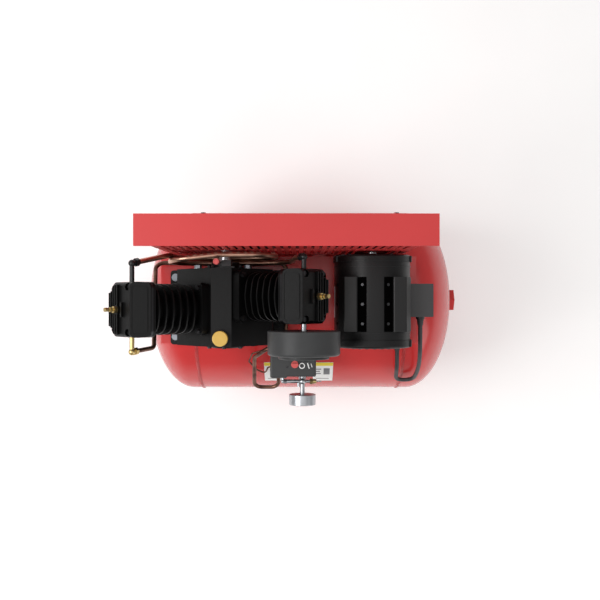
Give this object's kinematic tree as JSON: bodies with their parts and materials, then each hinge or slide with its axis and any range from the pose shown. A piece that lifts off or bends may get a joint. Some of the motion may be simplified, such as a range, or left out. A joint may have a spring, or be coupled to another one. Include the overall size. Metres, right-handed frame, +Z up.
{
  "type": "two-stage air compressor",
  "caption": "Belt-driven piston air compressor: two finned cylinders and an electric motor on a horizontal air receiver, with belt guard, intercooler, pressure switch and gauge.",
  "frame": {"origin": "on the floor under the tank's centre, in the plane of the feet's soles and at the centre of the four foot holes", "axes": "X along the tank with the pump on the -X side and the motor on the +X side, +Y towards the belt guard, +Z up"},
  "size_m": [1.074, 0.6388, 1.2],
  "materials": {
    "aluminium": "cast and machined",
    "belt_rubber": "wrapped belt",
    "black_enamel": "satin enamel",
    "cast_black": "painted casting",
    "copper_bright": "bright copper tube",
    "copper_dark": "heat-browned copper tube",
    "dial_white": "printed dial",
    "felt": "pleated filter paper",
    "grey_enamel": "satin enamel",
    "grey_plastic": "moulded",
    "guard_red": "satin enamel",
    "lens": "clear",
    "motor_black": "satin enamel",
    "oil_yellow": "moulded",
    "plated_steel": "zinc plated",
    "red_enamel": "gloss enamel",
    "red_plastic": "moulded",
    "rubber_black": "cable jacket",
    "shaft_steel": "ground",
    "steel_lamination": "laminated",
    "white_label": "printed film",
    "yellow_brass": "machined"
  },
  "bodies": {
    "frame": {"ball_bearings": "shaft_steel", "bearing_covers": "cast_black", "breather": "grey_plastic", "breather_cap": "red_plastic", "cable_glands": "rubber_black", "capacitor_covers": "motor_black", "con_rods": "aluminium", "cover_bolts": "plated_steel", "cover_screws": "plated_steel", "crankcase": "cast_black", "crankshaft": "shaft_steel", "cylinder_heads": "cast_black", "cylinders": "cast_black", "discharge_fittings": "yellow_brass", "discharge_tube": "copper_dark", "drain_valve": "yellow_brass", "drive_belts": "belt_rubber", "end_plugs": "plated_steel", "filter_canister": "grey_plastic", "filter_cap": "grey_plastic", "filter_element": "felt", "gauge_case": "plated_steel", "gauge_dial": "dial_white", "gauge_lens": "lens", "guard_ends": "guard_red", "guard_front": "guard_red", "guard_rear": "guard_red", "guard_top": "guard_red", "head_bolts": "plated_steel", "intake_pipe": "black_enamel", "intercooler_elbows": "black_enamel", "intercooler_tube": "copper_bright", "manifold": "plated_steel", "motor_base": "black_enamel", "motor_bells": "motor_black", "motor_cable": "rubber_black", "motor_shell": "motor_black", "motor_stator": "steel_lamination", "mounting_bolts": "plated_steel", "pistons": "aluminium", "platform": "red_enamel", "relief_valves": "yellow_brass", "safety_valve": "yellow_brass", "switch_base": "grey_enamel", "switch_cover": "grey_plastic", "tank_feet": "red_enamel", "tank_labels": "white_label", "tank_vessel": "red_enamel", "terminal_box": "grey_enamel", "unloader_tube": "plated_steel", "valve_plates": "shaft_steel", "wrist_pins": "shaft_steel"},
    "flywheel": {"flywheel": "cast_black"},
    "rotor": {"motor_rotor": "shaft_steel", "motor_pulley": "cast_black"},
    "knob": {"switch_knob": "red_plastic"},
    "needle": {"gauge_needle": "black_enamel"},
    "safety_ring": {"safety_valve_ring": "plated_steel"},
    "drain_lever": {"drain_handle": "plated_steel"},
    "oil_filler": {"oil_cap": "oil_yellow"}
  },
  "joints": [
    {"name": "flywheel_spin", "type": "hinge", "parent": "frame", "child": "flywheel", "pos_m": [-0.223, 0.18, 0.839], "axis": [0, 1, 0], "continuous": true},
    {"name": "rotor_spin", "type": "hinge", "parent": "frame", "child": "rotor", "pos_m": [0.215, 0, 0.85], "axis": [0, 1, 0], "continuous": true},
    {"name": "knob_turn", "type": "hinge", "parent": "frame", "child": "knob", "pos_m": [-0.016, -0.196, 0.8], "axis": [0, 0, 1], "range_deg": [0, 90]},
    {"name": "needle_sweep", "type": "hinge", "parent": "frame", "child": "needle", "pos_m": [0.0076, -0.3135, 0.7], "axis": [0, 1, 0], "range_deg": [0, 270]},
    {"name": "safety_pull", "type": "slide", "parent": "frame", "child": "safety_ring", "axis": [1, 0, 0], "range_m": [0, 0.004], "stiffness_N_per_m": 500},
    {"name": "drain_turn", "type": "hinge", "parent": "frame", "child": "drain_lever", "pos_m": [0, -0.02, 0.069], "axis": [0, 1, 0], "range_deg": [0, 90]},
    {"name": "oil_cap_lift", "type": "slide", "parent": "frame", "child": "oil_filler", "axis": [0, 0, 1], "range_m": [0, 0.03]}
  ],
  "couplings": [
    {"joint": "rotor_spin", "follows": "flywheel_spin", "ratio": 2.377}
  ]
}
